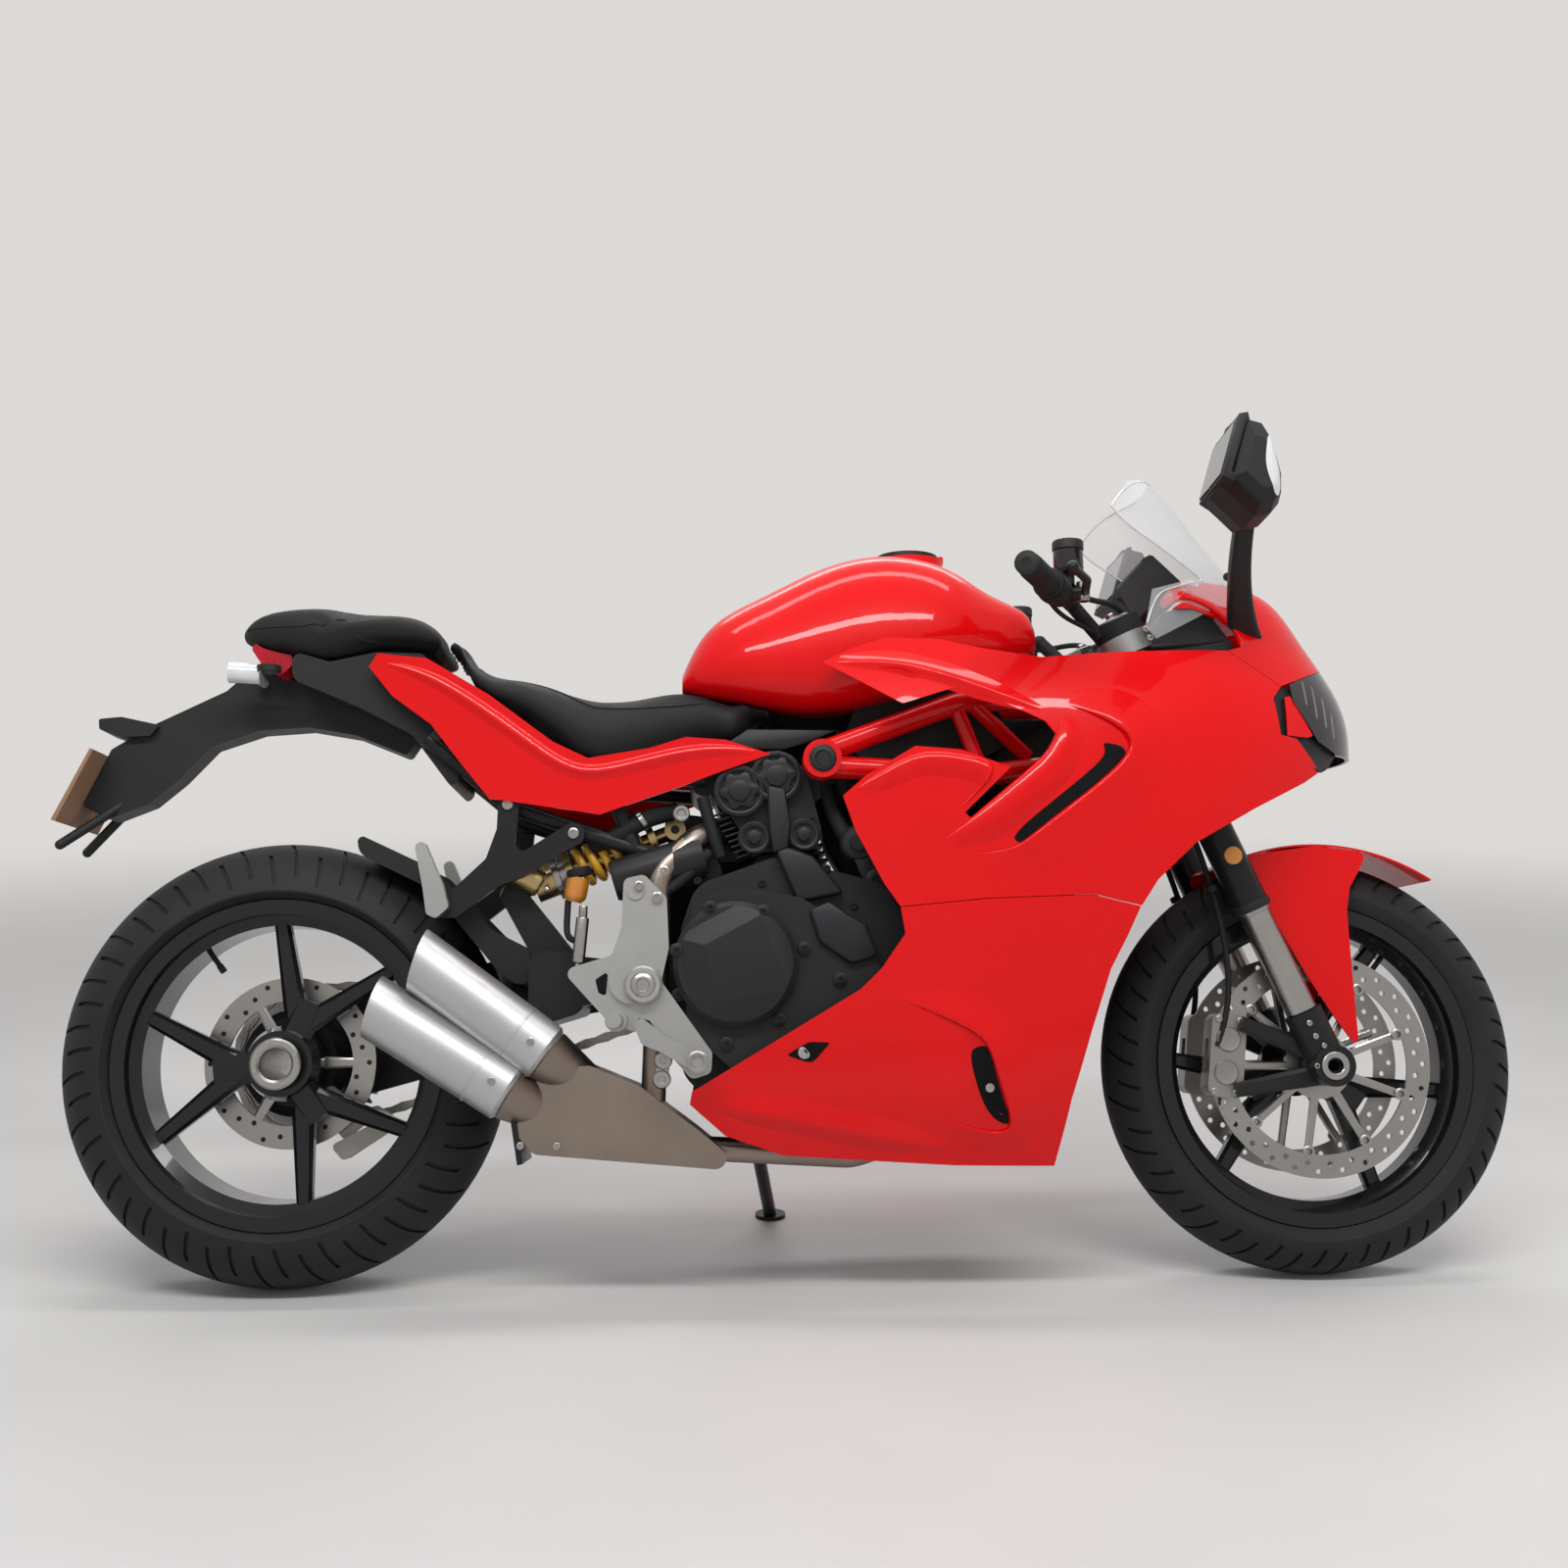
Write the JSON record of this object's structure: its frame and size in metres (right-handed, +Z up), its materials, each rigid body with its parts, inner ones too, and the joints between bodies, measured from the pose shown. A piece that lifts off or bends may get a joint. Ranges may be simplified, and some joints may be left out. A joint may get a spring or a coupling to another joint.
{
  "type": "sport bike",
  "caption": "Faired sport motorcycle leaning on its side stand, with turning wheels, steering, a folding stand and a hinged fuel cap.",
  "frame": {"origin": "on the ground under the middle of the leaning motorcycle", "axes": "+X forward, +Y to its left, +Z up; the motorcycle leans 12 degrees towards +Y on its side stand"},
  "size_m": [2.1013, 0.8166, 1.212],
  "materials": {
    "body_paint": "deep gloss red over moulded panels",
    "frame_paint": "gloss red on steel tube",
    "black_metal": "satin black",
    "engine_grey": "satin dark grey castings",
    "cover_black": "satin black castings",
    "steel": "bare steel",
    "black_plastic": "moulded matt black",
    "damper": "machined alloy",
    "spring_paint": "gloss yellow",
    "seat_vinyl": "matt black vinyl",
    "red_lens": "red lamp lens",
    "plate_board": "blank brown board",
    "clear_lens": "clear lamp lens",
    "smoked_lens": "dark lamp glass",
    "clear_screen": "clear screen",
    "mirror_glass": "mirror",
    "exhaust_steel": "heat tinted steel",
    "silencer_alloy": "satin bright alloy",
    "cast_alloy": "blasted cast alloy",
    "caliper_metal": "grey anodised",
    "fork_black": "gloss black tubes and bright sliders",
    "grip_rubber": "black rubber and satin black bar",
    "wheel_black": "gloss black cast wheel",
    "tyre": "road tyre",
    "disc_steel": "drilled steel disc"
  },
  "bodies": {
    "chassis": {"frame_trellis": "frame_paint", "subframe": "black_metal", "engine": "engine_grey", "engine_covers": "cover_black", "front_sprocket": "steel", "radiator": "black_metal", "airbox": "black_plastic", "shock_body": "damper", "shock_spring": "spring_paint", "fuel_tank": "body_paint", "rider_seat": "seat_vinyl", "pillion_seat": "seat_vinyl", "tail_panels": "body_paint", "tail_undertray": "black_plastic", "tail_light": "red_lens", "plate_holder": "black_plastic", "number_plate": "plate_board", "rear_indicators": "clear_lens", "side_fairings": "body_paint", "belly_fairings": "body_paint", "nose_cowl": "body_paint", "headlight": "smoked_lens", "windscreen": "clear_screen", "cockpit": "black_plastic", "mirrors": "black_plastic", "mirror_glasses": "mirror_glass", "exhaust_pipes": "exhaust_steel", "silencers": "silencer_alloy", "footrest_plates": "cast_alloy", "footrests": "cast_alloy", "foot_levers": "cast_alloy", "passenger_brackets": "black_metal", "swingarm": "black_metal", "drive_chain": "steel", "rear_hugger": "black_plastic", "rear_caliper": "caliper_metal"},
    "fuel_cap": {"fuel_cap": "cover_black"},
    "steering": {"fork_legs": "fork_black", "fork_feet": "black_metal", "triple_clamps": "cast_alloy", "handlebars": "grip_rubber", "control_levers": "black_metal", "front_fender": "body_paint", "front_calipers": "caliper_metal"},
    "front_wheel": {"front_rim": "wheel_black", "front_tyre": "tyre", "front_discs": "disc_steel"},
    "rear_wheel": {"rear_rim": "wheel_black", "rear_tyre": "tyre", "rear_disc": "disc_steel", "rear_sprocket": "steel"},
    "side_stand": {"side_stand": "black_metal"}
  },
  "joints": [
    {"name": "steering", "type": "hinge", "parent": "chassis", "child": "steering", "pos_m": [0.49351, -0.06249, 0.76848], "axis": [-0.4067, 0.1899, 0.8936], "range_deg": [-28, 28]},
    {"name": "front_spin", "type": "hinge", "parent": "steering", "child": "front_wheel", "pos_m": [0.7523, -0.16318, 0.2948], "axis": [0, 0.9781, -0.2079], "continuous": true},
    {"name": "rear_spin", "type": "hinge", "parent": "chassis", "child": "rear_wheel", "pos_m": [-0.7257, -0.15992, 0.31013], "axis": [0, 0.9781, -0.2079], "continuous": true},
    {"name": "stand_fold", "type": "hinge", "parent": "chassis", "child": "side_stand", "pos_m": [-0.05321, -0.07546, 0.16841], "axis": [0.1053, 0.7145, 0.6917], "range_deg": [0, 90.2]},
    {"name": "cap_lid", "type": "hinge", "parent": "chassis", "child": "fuel_cap", "pos_m": [0.22864, -0.00549, 1.03664], "axis": [0, 0.9781, -0.2079], "range_deg": [0, 90]}
  ]
}
